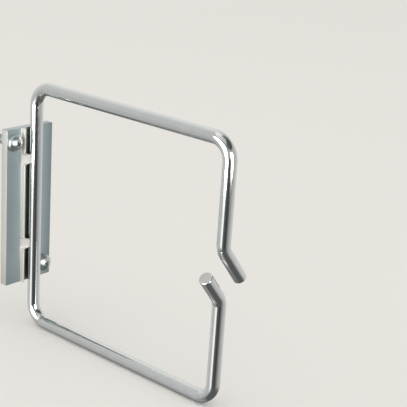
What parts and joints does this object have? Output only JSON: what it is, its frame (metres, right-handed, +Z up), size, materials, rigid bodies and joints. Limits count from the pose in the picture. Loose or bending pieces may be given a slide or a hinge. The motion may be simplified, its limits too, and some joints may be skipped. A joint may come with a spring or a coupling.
{
  "type": "cable ring",
  "caption": "Open square ring of bent round wire, crimped to a ribbed plate that screws to a panel; cables slip in between its turned-aside tips.",
  "frame": {"origin": "middle of the mounting plate's back, the face that lies on the panel", "axes": "+Z up, +Y into the panel, +X to the right when the panel is faced; the ring stands out towards -Y"},
  "size_m": [0.0206, 0.0922, 0.0842],
  "materials": {
    "bright_wire": "bright plated steel wire",
    "satin_plate": "satin blue-grey",
    "screw_plating": "zinc-plated steel"
  },
  "bodies": {
    "root": {"wire_ring": "bright_wire", "mounting_plate": "satin_plate", "upper_screw": "screw_plating", "lower_screw": "screw_plating"}
  },
  "joints": []
}
